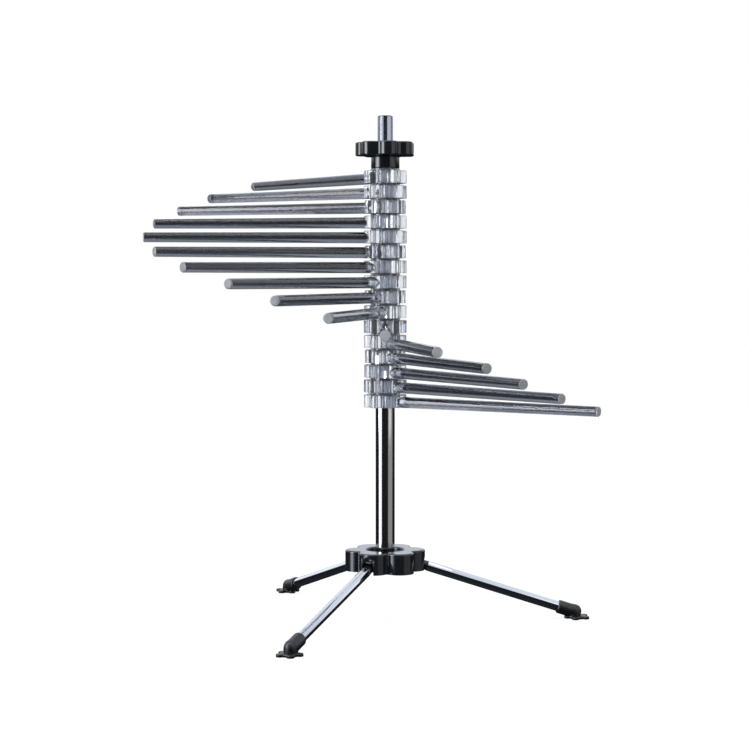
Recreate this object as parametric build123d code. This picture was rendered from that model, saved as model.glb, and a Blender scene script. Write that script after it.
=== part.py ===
from build123d import *
import math
import os

# Pasta drying rack: sixteen clear moulded arms turn on a clear rod that stands in a steel tube.
# A star knob presses a sleeve down on the arm rings. A six lobed hub carries three folding legs.
# Millimetres and degrees. Z is up, the origin is on the table under the mast, Y points away
# from the viewer and a bearing is counted from X towards Y, seen from above.

os.makedirs("parts", exist_ok=True)

# Mast
hub_clearance = 42.5              # table to the hub's underside
tube_top_height = 179.6           # table to the tube's upper end, on which the rings rest
mast_tube_diameter = 16.0
core_rod_diameter = 13.0
core_rod_insertion = 32.0         # length of clear rod held inside the tube
core_rod_above_knob = 21.9
core_rod_top_bevel = 1.2
rod_seat_clearance = 0.1          # between the clear rod and the tube's bore, each side

# Arms
arm_reach = 200.0                 # mast axis to an arm's tip
arm_diameter = 8.8
arm_axis_height = 4.7             # rod's axis above the underside of its ring
ring_flange_height = 10.6
ring_boss_height = 1.8            # the boss on which the next ring rests
ring_boss_diameter = 24.4
ring_lobe_count = 8
ring_lobe_centre_radius = 13.4
ring_lobe_radius = 4.5
ring_lobe_span = 112              # degrees of arc in a lobe, the rest of it is straight flanks
ring_clearance = 0.1              # between a ring's bore and the clear rod, each side
# Where each arm points, from the top one down, as the rack stands fanned out
arm_bearings = (127, 142, 155, 170, 187, 204, 219, 234, 246, 258, 270, 281, 292, 301, 312, 326)

# Clamp at the top of the stack
sleeve_diameter = 23.6
sleeve_height = 10.3
sleeve_spigot_diameter = 18.0
sleeve_spigot_height = 3.0
knob_height = 11.3
knob_bearing = 21.2               # of one of its lobes
knob_lobe_count = 7
knob_lobe_centre_radius = 16.8
knob_lobe_radius = 8.1
knob_lobe_span = 120              # degrees of arc in a lobe
knob_pocket_diameter = 33.5       # hollow under the knob
knob_top_thickness = 3.4
knob_rib_thickness = 1.6
knob_core_wall = 3.0              # around the sleeve's spigot
turning_clearance = 0.15          # around what turns or slides by hand, each side

# Hub, an open bottomed moulding with a cover
hub_height = 17.5
hub_lobe_count = 6
hub_lobe_centre_radius = 21.5
hub_hollow_centre_radius = 27.6
hub_lobe_share = 0.857
hub_wall = 2.5
hub_top_thickness = 2.5
hub_recess_diameter = 31.0        # round sink in the top, around the tube
hub_recess_depth = 2.5
hub_recess_margin = 2.5           # how far the thick floor of the sink runs under its rim
socket_wall = 3.0
socket_floor_thickness = 2.5
socket_floor_height = 3.5         # hub's underside to the underside of the socket's floor
socket_clearance = 0.05           # around the tube in its socket, each side
cheek_thickness = 2.8             # the plates that carry a leg's pin
cheek_foot_gap = 0.1              # between a cheek and the cover
arch_width = 10.5                 # mouth in the hub's wall for a leg
arch_top_height = 11.7            # hub's underside to the top of that mouth
roof_start_share = 0.75           # of the knuckle's eye radius, where the leg's stop begins

# Hub cover and fasteners
cover_thickness = 2.0
cover_clearance = 0.15            # around the cover in the hub, each side
post_clearance = 0.1              # around the posts that hold the pins up
cover_hole_diameter = 16.0
screw_circle_radius = 24.0
screw_diameter = 3.0
screw_length = 11.0
screw_head_diameter = 5.8
screw_head_height = 1.4
screw_boss_diameter = 7.0
thread_clearance = 0.05           # plain stand-in for a thread's play, each side
bolt_diameter = 6.0
bolt_head_diameter = 11.0
bolt_head_height = 2.2
bolt_shank_length = 16.0          # under the head
bolt_hole_clearance = 0.3
washer_diameter = 14.0
washer_thickness = 1.2
plug_length = 18.0
plug_clearance = 0.05             # around the threaded plug in the tube, each side
plug_hole_reserve = 1.5           # hole left past the bolt's tip

# Legs
leg_count = 3
first_leg_bearing = 3.3
pivot_radius = 22.0               # mast axis to a leg's pin
pivot_height = 7.5                # hub's underside to a leg's pin
ankle_radius = 160.0              # mast axis to the end of a leg's axis
ankle_height = 5.8                # table to the end of a leg's axis
leg_tube_diameter = 8.6
leg_tube_wall = 0.8
leg_tube_start = 14.1             # pin to the tube's inner end, along the leg
leg_tube_setback = 2.0            # ankle to the tube's outer end, along the leg
knuckle_width = 7.6
knuckle_neck_diameter = 8.0
knuckle_eye_diameter = 8.4
knuckle_plug_length = 12.0
knuckle_plug_clearance = 0.05
knuckle_side_clearance = 0.3      # between a knuckle and each cheek
stop_clearance = 0.1              # between a spread leg and its stop
pin_diameter = 3.0
pin_clearance = 0.08              # around a leg's pin, each side

# Rubber feet
boot_diameter = 11.4
boot_grip_length = 14.9           # ankle to the boot's mouth, along the leg
boot_clearance = 0.03             # around the tube in the boot, each side
pad_offset = 2.7                  # how far a pad's middle lies outside the end of the leg's axis
pad_thickness = 2.4
pad_petal_count = 5
pad_petal_centre_radius = 7.6
pad_petal_radius = 3.4
pad_petal_span = 172              # degrees of arc in a petal

cut_overrun = 1.0                 # how far every cut runs past what it cuts

# Sizes that follow from the ones above
ring_pitch = ring_flange_height + ring_boss_height
arm_count = len(arm_bearings)
stack_top = tube_top_height + arm_count * ring_pitch
knob_foot = stack_top + sleeve_height
knob_crown = knob_foot + knob_height
mast_height = knob_crown + core_rod_above_knob
core_radius = core_rod_diameter / 2
ring_bore_radius = core_radius + ring_clearance
turning_bore_radius = core_radius + turning_clearance
tube_bore_radius = core_radius + rod_seat_clearance
hub_top = hub_clearance + hub_height
hub_ceiling = hub_top - hub_top_thickness
socket_radius = mast_tube_diameter / 2 + socket_wall
socket_underside = hub_clearance + socket_floor_height
tube_foot = socket_underside + socket_floor_thickness
pivot_z = hub_clearance + pivot_height
leg_run = ankle_radius - pivot_radius
leg_drop = pivot_z - ankle_height
leg_length = math.hypot(leg_run, leg_drop)
leg_slope = math.degrees(math.atan2(leg_drop, leg_run))
eye_radius = knuckle_eye_diameter / 2
slot_half_width = knuckle_width / 2 + knuckle_side_clearance
cheek_face = slot_half_width + cheek_thickness
cover_top = hub_clearance + cover_thickness
pin_hole_radius = pin_diameter / 2 + pin_clearance
# Turns from the hub's first lobe, which points along X while the hub is modelled
leg_turns = [360 * leg / leg_count for leg in range(leg_count)]
plain_lobe_turns = [turn + 180 / leg_count for turn in leg_turns]


def upright(radius, low, high, x=0):
    """Cylinder about a vertical axis at x, between two heights."""
    return Pos(x, 0, (low + high) / 2) * Cylinder(radius, high - low)


def block(x_low, x_high, y_half, z_low, z_high):
    """Box that is centred on the XZ plane."""
    middle = Pos((x_low + x_high) / 2, 0, (z_low + z_high) / 2)
    return middle * Box(x_high - x_low, 2 * y_half, z_high - z_low)


def turned(shape, bearing):
    """The shape turned about the mast to a bearing."""
    return Rot(0, 0, bearing) * shape


def star_lobe_radius(count, lobe_centre_radius, hollow_centre_radius, lobe_share):
    """Radius of a star's lobes: their share of the way from a lobe's centre to a hollow's."""
    half_step = math.pi / count
    across = lobe_centre_radius * math.sin(half_step)
    return lobe_share * math.hypot(across, hollow_centre_radius - lobe_centre_radius * math.cos(half_step))


def star_face(count, lobe_centre_radius, hollow_centre_radius, lobe_share, inset=0):
    """Face of round lobes joined by round hollows, every arc tangent to the next.

    The first lobe points along X. An inset keeps the centres and moves the whole outline inwards.
    """
    half_step = 180 / count
    lobe_radius = star_lobe_radius(count, lobe_centre_radius, hollow_centre_radius, lobe_share)
    lobe = lobe_radius - inset
    hollow = lobe_radius / lobe_share - lobe
    arcs = []
    for number in range(count):
        heading = 2 * number * half_step
        centre = Vector(lobe_centre_radius, 0).rotate(Axis.Z, heading)
        before = Vector(hollow_centre_radius, 0).rotate(Axis.Z, heading - half_step)
        after = Vector(hollow_centre_radius, 0).rotate(Axis.Z, heading + half_step)
        following = Vector(lobe_centre_radius, 0).rotate(Axis.Z, heading + 2 * half_step)
        arrival = centre + (before - centre).normalized() * lobe
        departure = centre + (after - centre).normalized() * lobe
        next_arrival = following + (after - following).normalized() * lobe
        arcs.append(ThreePointArc(arrival, centre + centre.normalized() * lobe, departure))
        arcs.append(ThreePointArc(departure, after - after.normalized() * hollow, next_arrival))
    return make_face(arcs)


def star_prism(low, high, *outline, inset=0):
    """Upright prism on a star outline between two heights."""
    return Pos(0, 0, low) * extrude(star_face(*outline, inset=inset), high - low)


def scalloped_face(count, lobe_centre_radius, lobe_radius, lobe_span):
    """Face of round lobes whose straight flanks meet in sharp notches. The first lobe points along X."""
    half_step = math.pi / count
    half_span = math.radians(lobe_span / 2)
    lean = half_span - half_step
    gap = lobe_centre_radius * math.sin(half_step) - lobe_radius * math.sin(lean)
    flank = gap / math.cos(lean)
    arc_end = Vector(lobe_radius, 0).rotate(Axis.Z, lobe_span / 2) + Vector(lobe_centre_radius, 0)
    notch = arc_end + Vector(0, flank).rotate(Axis.Z, lobe_span / 2)
    arc_start = Vector(arc_end.X, -arc_end.Y)
    tip = Vector(lobe_centre_radius + lobe_radius, 0)
    sides = []
    for number in range(count):
        turn, next_turn = 360 * number / count, 360 * (number + 1) / count
        start, top, end, corner = (point.rotate(Axis.Z, turn) for point in (arc_start, tip, arc_end, notch))
        sides.append(ThreePointArc(start, top, end))
        sides.append(Line(end, corner))
        sides.append(Line(corner, arc_start.rotate(Axis.Z, next_turn)))
    return make_face(sides)


ring_outline = (ring_lobe_count, ring_lobe_centre_radius, ring_lobe_radius, ring_lobe_span)
knob_outline = (knob_lobe_count, knob_lobe_centre_radius, knob_lobe_radius, knob_lobe_span)
hub_outline = (hub_lobe_count, hub_lobe_centre_radius, hub_hollow_centre_radius, hub_lobe_share)
pad_outline = (pad_petal_count, pad_petal_centre_radius, pad_petal_radius, pad_petal_span)
hub_lobe_radius = star_lobe_radius(*hub_outline)
hub_reach = hub_lobe_centre_radius + hub_lobe_radius


def make_arm():
    """One clear arm along X, its ring's underside at height zero: lobed ring, boss and rod."""
    flange = extrude(scalloped_face(*ring_outline), ring_flange_height)
    boss = upright(ring_boss_diameter / 2, 0, ring_pitch)
    root_x = ring_boss_diameter / 2
    rod = Pos((root_x + arm_reach) / 2, 0, arm_axis_height) * Rot(0, 90, 0) * Cylinder(
        arm_diameter / 2, arm_reach - root_x
    )
    bore = upright(ring_bore_radius, -cut_overrun, ring_pitch + cut_overrun)
    return flange + boss + rod - bore


def make_core_rod():
    """Clear rod that stands in the tube and carries the rings."""
    rod = upright(core_radius, tube_top_height - core_rod_insertion, mast_height)
    return chamfer(rod.faces().sort_by(Axis.Z)[-1].edges(), core_rod_top_bevel)


def make_mast_tube():
    """Steel tube from the hub's socket to the lowest ring."""
    tube = upright(mast_tube_diameter / 2, tube_foot, tube_top_height)
    return tube - upright(tube_bore_radius, tube_foot - cut_overrun, tube_top_height + cut_overrun)


def make_tube_plug():
    """Threaded plug in the foot of the tube, which the mast bolt pulls down."""
    plug = upright(tube_bore_radius - plug_clearance, tube_foot, tube_foot + plug_length)
    bolt_tip = socket_underside - washer_thickness + bolt_shank_length
    hole_radius = bolt_diameter / 2 + thread_clearance
    return plug - upright(hole_radius, tube_foot - cut_overrun, bolt_tip + plug_hole_reserve)


def make_mast_washer():
    """Washer under the socket's floor."""
    low = socket_underside - washer_thickness
    washer = upright(washer_diameter / 2, low, socket_underside)
    hole_radius = bolt_diameter / 2 + bolt_hole_clearance
    return washer - upright(hole_radius, low - cut_overrun, socket_underside + cut_overrun)


def make_mast_bolt():
    """Low headed bolt that holds the tube down in the hub."""
    seat = socket_underside - washer_thickness
    head = upright(bolt_head_diameter / 2, seat - bolt_head_height, seat)
    return head + upright(bolt_diameter / 2, seat - bolt_head_height, seat + bolt_shank_length)


def make_pressure_sleeve():
    """Sleeve that slides on the clear rod between the top ring and the knob."""
    body = upright(sleeve_diameter / 2, stack_top, knob_foot)
    spigot_top = knob_foot + sleeve_spigot_height
    spigot = upright(sleeve_spigot_diameter / 2, stack_top, spigot_top)
    bore = upright(turning_bore_radius, stack_top - cut_overrun, spigot_top + cut_overrun)
    return body + spigot - bore


def make_star_knob():
    """Lobed knob, cored out from below, with a rib in every lobe."""
    body = Pos(0, 0, knob_foot) * extrude(scalloped_face(*knob_outline), knob_height)
    pocket_top = knob_crown - knob_top_thickness
    seat_radius = sleeve_spigot_diameter / 2 + turning_clearance
    pocket_radius = knob_pocket_diameter / 2
    pocket = upright(pocket_radius, knob_foot - cut_overrun, pocket_top)
    pocket -= upright(seat_radius + knob_core_wall, knob_foot - cut_overrun, pocket_top)
    for rib in range(knob_lobe_count):
        web = block(0, pocket_radius, knob_rib_thickness / 2, knob_foot - cut_overrun, pocket_top)
        pocket -= turned(web, 360 * rib / knob_lobe_count)
    seat_top = knob_foot + sleeve_spigot_height + turning_clearance
    seat = upright(seat_radius, knob_foot - cut_overrun, seat_top)
    bore = upright(turning_bore_radius, knob_foot - cut_overrun, knob_crown + cut_overrun)
    return body - pocket - seat - bore


def leg_line_height(x):
    """Height of a spread leg's axis at a distance from the mast."""
    return pivot_z - (x - pivot_radius) * leg_drop / leg_run


def make_leg_bay():
    """Inside of the hub where one leg is hung, along X: two cheeks and the roof that stops the leg."""
    start = mast_tube_diameter / 2
    cheeks = block(start, hub_reach, cheek_face, cover_top + cheek_foot_gap, hub_ceiling)
    slot_low = hub_clearance - cut_overrun
    cheeks -= block(socket_radius, hub_reach, slot_half_width, slot_low, hub_ceiling)
    start = pivot_radius + roof_start_share * eye_radius
    end = hub_reach - hub_wall
    lift = (knuckle_neck_diameter / 2 + stop_clearance) * leg_length / leg_run
    roof_side = make_face(
        Polyline(
            (start, hub_ceiling),
            (end, hub_ceiling),
            (end, leg_line_height(end) + lift),
            (start, leg_line_height(start) + lift),
            close=True,
        )
    )
    roof = extrude(Plane.XZ * roof_side, cheek_face, both=True)
    return cheeks + roof


def make_leg_cut():
    """What one leg takes out of the hub, along X: the arch in the wall and the saddle for its pin."""
    low = hub_clearance - cut_overrun
    arch_radius = arch_width / 2
    mouth = hub_lobe_centre_radius + math.sqrt((hub_lobe_radius - hub_wall) ** 2 - arch_radius**2)
    spring_line = hub_clearance + arch_top_height - arch_radius
    arch = block(mouth, hub_reach + cut_overrun, arch_radius, low, spring_line)
    crown = Pos((mouth + hub_reach + cut_overrun) / 2, 0, spring_line) * Rot(0, 90, 0)
    arch += crown * Cylinder(arch_radius, hub_reach + cut_overrun - mouth)
    saddle = block(pivot_radius - pin_hole_radius, pivot_radius + pin_hole_radius, cheek_face, low, pivot_z)
    eye = Pos(pivot_radius, 0, pivot_z) * Rot(90, 0, 0) * Cylinder(pin_hole_radius, 2 * cheek_face)
    return arch + saddle + eye


def make_base_hub():
    """Six lobed hub: thin shell, socket for the tube, and a bay for each leg."""
    body = star_prism(hub_clearance, hub_top, *hub_outline)
    outside = star_prism(hub_clearance, hub_ceiling, *hub_outline, inset=hub_wall / 2)
    body -= star_prism(hub_clearance - cut_overrun, hub_ceiling, *hub_outline, inset=hub_wall)
    sink_floor = hub_top - hub_recess_depth
    floor_radius = hub_recess_diameter / 2 + hub_recess_margin
    body += upright(floor_radius, sink_floor - hub_top_thickness, hub_ceiling)
    body += upright(socket_radius, socket_underside, hub_ceiling)
    bay, leg_cut = make_leg_bay() & outside, make_leg_cut()
    for turn in leg_turns:
        body += turned(bay, turn)
    for turn in leg_turns:
        body -= turned(leg_cut, turn)
    boss = upright(screw_boss_diameter / 2, cover_top, hub_ceiling, x=screw_circle_radius)
    pilot_radius = screw_diameter / 2 + thread_clearance
    pilot = upright(pilot_radius, cover_top - cut_overrun, hub_clearance + screw_length + cut_overrun,
                    x=screw_circle_radius)
    for turn in plain_lobe_turns:
        body += turned(boss, turn)
        body -= turned(pilot, turn)
    body -= upright(hub_recess_diameter / 2, sink_floor, hub_top + cut_overrun)
    body -= upright(mast_tube_diameter / 2 + socket_clearance, tube_foot, hub_top)
    bolt_hole_radius = bolt_diameter / 2 + bolt_hole_clearance
    return body - upright(bolt_hole_radius, socket_underside - cut_overrun, hub_top)


def make_base_cover():
    """Plate that closes the hub from below and holds the leg pins in their saddles."""
    inset = hub_wall + cover_clearance
    body = star_prism(hub_clearance, cover_top, *hub_outline, inset=inset)
    body -= upright(cover_hole_diameter / 2, hub_clearance - cut_overrun, cover_top + cut_overrun)
    notch_start = pivot_radius - eye_radius - knuckle_side_clearance
    notch = block(notch_start, hub_reach, slot_half_width, hub_clearance - cut_overrun,
                  cover_top + cut_overrun)
    post_half = pin_diameter / 2 - post_clearance
    post_top = pivot_z - pin_diameter / 2 - post_clearance
    posts = block(pivot_radius - post_half, pivot_radius + post_half, cheek_face - post_clearance,
                  hub_clearance, post_top)
    posts -= block(notch_start, hub_reach, slot_half_width + post_clearance,
                   hub_clearance - cut_overrun, post_top + cut_overrun)
    head_room = screw_head_diameter / 2 + cover_clearance
    sink = upright(head_room, hub_clearance - cut_overrun, hub_clearance + screw_head_height,
                   x=screw_circle_radius)
    sink += upright(screw_diameter / 2 + thread_clearance, hub_clearance, cover_top + cut_overrun,
                    x=screw_circle_radius)
    for turn in leg_turns:
        body = body + turned(posts, turn) - turned(notch, turn)
    for turn in plain_lobe_turns:
        body -= turned(sink, turn)
    return body


def make_cover_screws():
    """Sunk screws that hold the cover, one in each lobe without a leg."""
    seat = hub_clearance + screw_head_height
    head = upright(screw_head_diameter / 2, hub_clearance, seat, x=screw_circle_radius)
    shank_top = hub_clearance + screw_length
    screw = head + upright(screw_diameter / 2, hub_clearance, shank_top, x=screw_circle_radius)
    return [turned(screw, first_leg_bearing + turn) for turn in plain_lobe_turns]


def make_leg_pins():
    """Steel pins on which the legs fold."""
    length = 2 * (cheek_face - post_clearance)
    pin = Pos(pivot_radius, 0, pivot_z) * Rot(90, 0, 0) * Cylinder(pin_diameter / 2, length)
    return [turned(pin, first_leg_bearing + turn) for turn in leg_turns]


def along_leg(shape):
    """The shape placed on a spread leg that lies over X, its Z axis running from the pin to the foot."""
    return Pos(pivot_radius, 0, pivot_z) * Rot(0, 90 + leg_slope, 0) * shape


def make_leg_knuckle():
    """Knuckle that turns on the pin and plugs into the leg's tube."""
    eye = Rot(90, 0, 0) * Cylinder(eye_radius, knuckle_width)
    neck = upright(knuckle_neck_diameter / 2, 0, leg_tube_start)
    plug_radius = leg_tube_diameter / 2 - leg_tube_wall - knuckle_plug_clearance
    plug = upright(plug_radius, 0, leg_tube_start + knuckle_plug_length)
    hole = Rot(90, 0, 0) * Cylinder(pin_hole_radius, knuckle_width + cut_overrun)
    return along_leg(eye + neck + plug - hole)


def make_leg_tube():
    """Chromed tube of one leg."""
    end = leg_length - leg_tube_setback
    tube = upright(leg_tube_diameter / 2, leg_tube_start, end)
    bore_radius = leg_tube_diameter / 2 - leg_tube_wall
    return along_leg(tube - upright(bore_radius, leg_tube_start - cut_overrun, end + cut_overrun))


def make_foot():
    """Rubber foot: a boot over the end of the tube, mitred down on to a flat pad with five petals."""
    boot_radius = boot_diameter / 2
    mouth = leg_length - boot_grip_length
    ankle = (ankle_radius, 0, ankle_height)
    # The mitre's plane halves the angle between the leg and the upright neck
    half_bend = (90 - leg_slope) / 2
    mitre = Plane(ankle, x_dir=(0, 1, 0), z_dir=Vector(1, 0, 0).rotate(Axis.Y, leg_slope + half_bend))
    boot = along_leg(upright(boot_radius, mouth, leg_length + boot_diameter))
    neck = upright(boot_radius, 0, ankle_height + boot_diameter, x=ankle_radius)
    elbow = split(boot, mitre, Keep.BOTTOM) + split(neck, mitre, Keep.TOP)
    pad = extrude(scalloped_face(*pad_outline), pad_thickness)
    pad = Pos(ankle_radius + pad_offset, 0, 0) * Rot(0, 0, 180) * pad
    socket_end = leg_length - leg_tube_setback
    socket = upright(leg_tube_diameter / 2 + boot_clearance, mouth - cut_overrun, socket_end)
    return elbow + pad - along_leg(socket)


def write(name, shape):
    """Writes one piece, or a group of like pieces, to its own file."""
    solids = shape if isinstance(shape, list) else [shape]
    solids = [solid for piece in solids for solid in piece.solids()]
    export_step(Compound(children=solids) if len(solids) > 1 else solids[0], f"parts/{name}.step")


write("mast_tube", make_mast_tube())
write("core_rod", make_core_rod())
write("tube_plug", make_tube_plug())
write("mast_bolt", make_mast_bolt())
write("mast_washer", make_mast_washer())
write("base_hub", turned(make_base_hub(), first_leg_bearing))
write("base_cover", turned(make_base_cover(), first_leg_bearing))
write("cover_screws", make_cover_screws())
write("leg_pins", make_leg_pins())
write("pressure_sleeve", make_pressure_sleeve())
write("star_knob", turned(make_star_knob(), knob_bearing))

single_arm = make_arm()
for number, bearing in enumerate(arm_bearings, start=1):
    foot_of_ring = stack_top - number * ring_pitch
    write(f"arm_{number:02d}", Pos(0, 0, foot_of_ring) * turned(single_arm, bearing))

knuckle, leg_tube, foot = make_leg_knuckle(), make_leg_tube(), make_foot()
for number, turn in enumerate(leg_turns, start=1):
    write(f"leg_knuckle_{number}", turned(knuckle, first_leg_bearing + turn))
    write(f"leg_tube_{number}", turned(leg_tube, first_leg_bearing + turn))
    write(f"foot_{number}", turned(foot, first_leg_bearing + turn))
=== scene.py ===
"""Looks of the pasta drying rack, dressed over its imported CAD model."""
import logging
import math
from dataclasses import dataclass, field
from enum import Enum
from typing import Callable, Iterable, Mapping, Sequence

import bmesh
import bpy
from mathutils import Matrix, Vector


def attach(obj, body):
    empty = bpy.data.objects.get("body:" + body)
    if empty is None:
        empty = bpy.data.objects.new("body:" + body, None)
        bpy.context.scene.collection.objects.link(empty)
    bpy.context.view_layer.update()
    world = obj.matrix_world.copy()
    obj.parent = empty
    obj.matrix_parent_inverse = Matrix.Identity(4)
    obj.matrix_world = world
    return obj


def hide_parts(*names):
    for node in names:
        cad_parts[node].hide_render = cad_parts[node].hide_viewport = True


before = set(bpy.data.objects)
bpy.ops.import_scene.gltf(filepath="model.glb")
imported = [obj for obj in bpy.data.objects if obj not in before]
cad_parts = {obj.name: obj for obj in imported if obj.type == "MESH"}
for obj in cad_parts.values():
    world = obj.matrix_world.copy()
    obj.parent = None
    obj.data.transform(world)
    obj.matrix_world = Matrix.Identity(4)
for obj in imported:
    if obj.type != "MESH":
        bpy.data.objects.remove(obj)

LOG = logging.getLogger("pasta_rack")
MM = 0.001
WHITE, BLACK = "#FFFFFF", "#000000"
LEG_COUNT = 3
# Bearing of the first leg, in degrees
LEG_BEARING = 3.3
# How near, in metres, a point counts as on the axis, an edge as level, and a rim as on its face or circle
ON_AXIS, SAME_LEVEL, ON_FACE, ON_CIRCLE = 1e-9, 1e-6, 1e-5, 1e-4

Piece, Socket, Tree = bpy.types.Object, bpy.types.NodeSocket, bpy.types.NodeTree


def linear(hex_colour: str) -> tuple[float, float, float, float]:
    """Turns an sRGB hex colour into linear light.

    Args:
        hex_colour: Colour such as "#0B0B0C".

    Returns:
        Linear red, green, blue and an alpha of one.
    """
    shares = [int(hex_colour[start:start + 2], 16) / 255 for start in (1, 3, 5)]
    return (*(s / 12.92 if s <= 0.04045 else ((s + 0.055) / 1.055) ** 2.4 for s in shares), 1.0)


def add_node(tree: Tree, kind: str, sockets: dict | None = None, **settings) -> bpy.types.Node:
    """Adds one node, with its settings, its socket values and its links.

    Args:
        tree: Tree that gets the node.
        kind: Blender's name of the node type.
        sockets: Input name or number to a value, or to the output socket that feeds it.
        settings: Properties of the node itself.

    Returns:
        The new node.
    """
    node = tree.nodes.new(kind)
    for name, value in settings.items():
        setattr(node, name, value)
    for name, value in (sockets or {}).items():
        if isinstance(value, Socket):
            tree.links.new(value, node.inputs[name])
        else:
            node.inputs[name].default_value = value
    return node


def calculate(tree: Tree, operation: str, *values: float | Socket) -> Socket:
    """Adds one math node.

    Args:
        tree: Tree that gets the node.
        operation: Blender's name of the operation.
        values: Numbers, or the sockets that feed them.

    Returns:
        Socket of the result.
    """
    return add_node(tree, "ShaderNodeMath", dict(enumerate(values)), operation=operation).outputs[0]


def map_range(tree: Tree, value: Socket, low: float | Socket, high: float | Socket,
              start: float | Socket = 0.0, end: float | Socket = 1.0) -> Socket:
    """Adds a number that passes from start to end while another goes from low to high.

    Args:
        tree: Tree that gets the node.
        value: Socket of the other number.
        low: Its value up to which the start holds.
        high: Its value from which the end holds.
        start: First value of the result.
        end: Last value of the result.

    Returns:
        Socket of the result.
    """
    return add_node(tree, "ShaderNodeMapRange", {
        "Value": value, "From Min": low, "From Max": high, "To Min": start, "To Max": end}).outputs[0]


def blend(tree: Tree, share: Socket, first: Socket | tuple, second: Socket | tuple) -> Socket:
    """Adds a mix of two colours.

    Args:
        tree: Tree that gets the node.
        share: Socket of the second colour's share.
        first: First colour, or its socket.
        second: Second colour, or its socket.

    Returns:
        Socket of the mixed colour.
    """
    return add_node(tree, "ShaderNodeMix", {0: share, 6: first, 7: second}, data_type="RGBA").outputs[2]


def cleared_tree(owner: bpy.types.Material | bpy.types.World) -> Tree:
    """Empties the node tree of a material or a world.

    Args:
        owner: Material or world.

    Returns:
        Its node tree, without nodes.
    """
    owner.use_nodes = True
    owner.node_tree.nodes.clear()
    return owner.node_tree


class Stretch(Enum):
    """How a material's fine pattern lies on the rack."""

    EVEN = (1.0, 1.0, 1.0)
    ROUND_THE_MAST = (1.0, 1.0, 12.0)


@dataclass(frozen=True)
class Finish:
    """One real material and the way its surface was made."""

    name: str
    colour: str
    roughness: float
    ior: float = 1.5
    metallic: float = 0.0
    transmission: float = 0.0
    grain_mm: float = 1.0
    grain_detail: float = 3.0
    grain_span: tuple[float, float] = (0.3, 0.7)
    relief_mm: float = 0.0
    mottle: float = 0.0
    stretch: Stretch = Stretch.EVEN
    haze_mark: str = ""
    haze_curve: float = 3.0
    haze_tooth: float = 0.45
    haze_veil: float = 0.2
    haze_trace: float = 0.01
    clear_colour: str = ""

    def build(self) -> bpy.types.Material:
        """Builds the material once and reuses it after that.

        Returns:
            The material, named for the real one.
        """
        found = bpy.data.materials.get(self.name)
        if found:
            return found
        material = bpy.data.materials.new(self.name)
        tree = cleared_tree(material)
        place = add_node(tree, "ShaderNodeTexCoord").outputs["Object"]
        lay = add_node(tree, "ShaderNodeMapping", {"Vector": place, "Scale": self.stretch.value}).outputs[0]
        grain = add_node(tree, "ShaderNodeTexNoise", {
            "Vector": lay, "Scale": 1 / (self.grain_mm * MM), "Detail": self.grain_detail}).outputs[0]
        low, high = self.roughness * (1 - self.mottle), self.roughness * (1 + self.mottle)
        rough = map_range(tree, grain, *self.grain_span, low, high)
        shader = add_node(tree, "ShaderNodeBsdfPrincipled", {
            "Base Color": linear(self.colour), "Metallic": self.metallic, "IOR": self.ior,
            "Transmission Weight": self.transmission, "Roughness": rough})
        if self.haze_mark:
            self.cloud(tree, shader, rough)
        if self.relief_mm:
            bump = add_node(tree, "ShaderNodeBump", {
                "Height": grain, "Distance": self.relief_mm * MM, "Strength": 1.0})
            tree.links.new(bump.outputs[0], shader.inputs["Normal"])
        add_node(tree, "ShaderNodeOutputMaterial", {"Surface": shader.outputs[0]})
        return material

    def cloud(self, tree: Tree, shader: bpy.types.Node, rough: Socket) -> None:
        """Makes a clear material milky and matt where a mesh attribute says so.

        Args:
            tree: Tree of the material.
            shader: Principled shader of the material.
            rough: Roughness of its clear faces.
        """
        haze = add_node(tree, "ShaderNodeAttribute", attribute_name=self.haze_mark).outputs["Fac"]
        tooth = calculate(tree, "POWER", haze, self.haze_curve)
        matt = calculate(tree, "MULTIPLY_ADD", tooth, self.haze_tooth, rough)
        clear = calculate(tree, "MULTIPLY_ADD", haze, -self.haze_veil, self.transmission)
        milky = calculate(tree, "GREATER_THAN", haze, self.haze_trace)
        colour = blend(tree, milky, linear(self.clear_colour), linear(self.colour))
        for result, name in ((colour, "Base Color"), (matt, "Roughness"), (clear, "Transmission Weight")):
            tree.links.new(result, shader.inputs[name])


# Clear polystyrene, injection moulded: bright and glassy, with faint flow waves, a trace of milk in the
# thick rings and matt ends on the rods
ARM_PLASTIC = Finish("clear polystyrene moulding", "#E8ECF3", 0.02, 1.52, transmission=1.0, grain_mm=9.0,
                     relief_mm=0.05, mottle=0.4, haze_mark="haze", clear_colour="#B3B8C2")
# Clear acrylic rod, extruded: smoother than the mouldings; its blue-grey colour is painted shade for the dark
# room seen through it
ROD_PLASTIC = Finish("clear acrylic rod", "#A9AFBD", 0.015, 1.49, transmission=1.0, grain_mm=14.0,
                     relief_mm=0.03, mottle=0.3)
# Gloss black ABS, moulded in a polished tool: deep black with soft edged highlights
BLACK_GLOSS = Finish("gloss black ABS", "#13161A", 0.14, 1.54, grain_mm=2.5, relief_mm=0.01, mottle=0.25)
# Black ABS from an unpolished tool, as on the cover under the hub: dull, with no clear reflection
BLACK_SATIN = Finish("satin black ABS", "#111112", 0.42, 1.54, grain_mm=0.8, relief_mm=0.015, mottle=0.2)
# Black nylon of the leg knuckles: a waxy sheen
BLACK_NYLON = Finish("black nylon", "#0F0F10", 0.3, 1.53, grain_mm=1.0, relief_mm=0.01, mottle=0.2)
# Polished stainless tube: a slightly soft mirror, with lines round it from the polishing belt
STAINLESS = Finish("polished stainless steel", "#C4C5C6", 0.12, metallic=1.0, grain_mm=3.0,
                   relief_mm=0.002, mottle=0.3, stretch=Stretch.ROUND_THE_MAST)
# Bright chrome plate on the legs: a clean mirror
CHROME = Finish("bright chrome plate", "#D0D1D3", 0.05, metallic=1.0, grain_mm=6.0, mottle=0.3)
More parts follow.
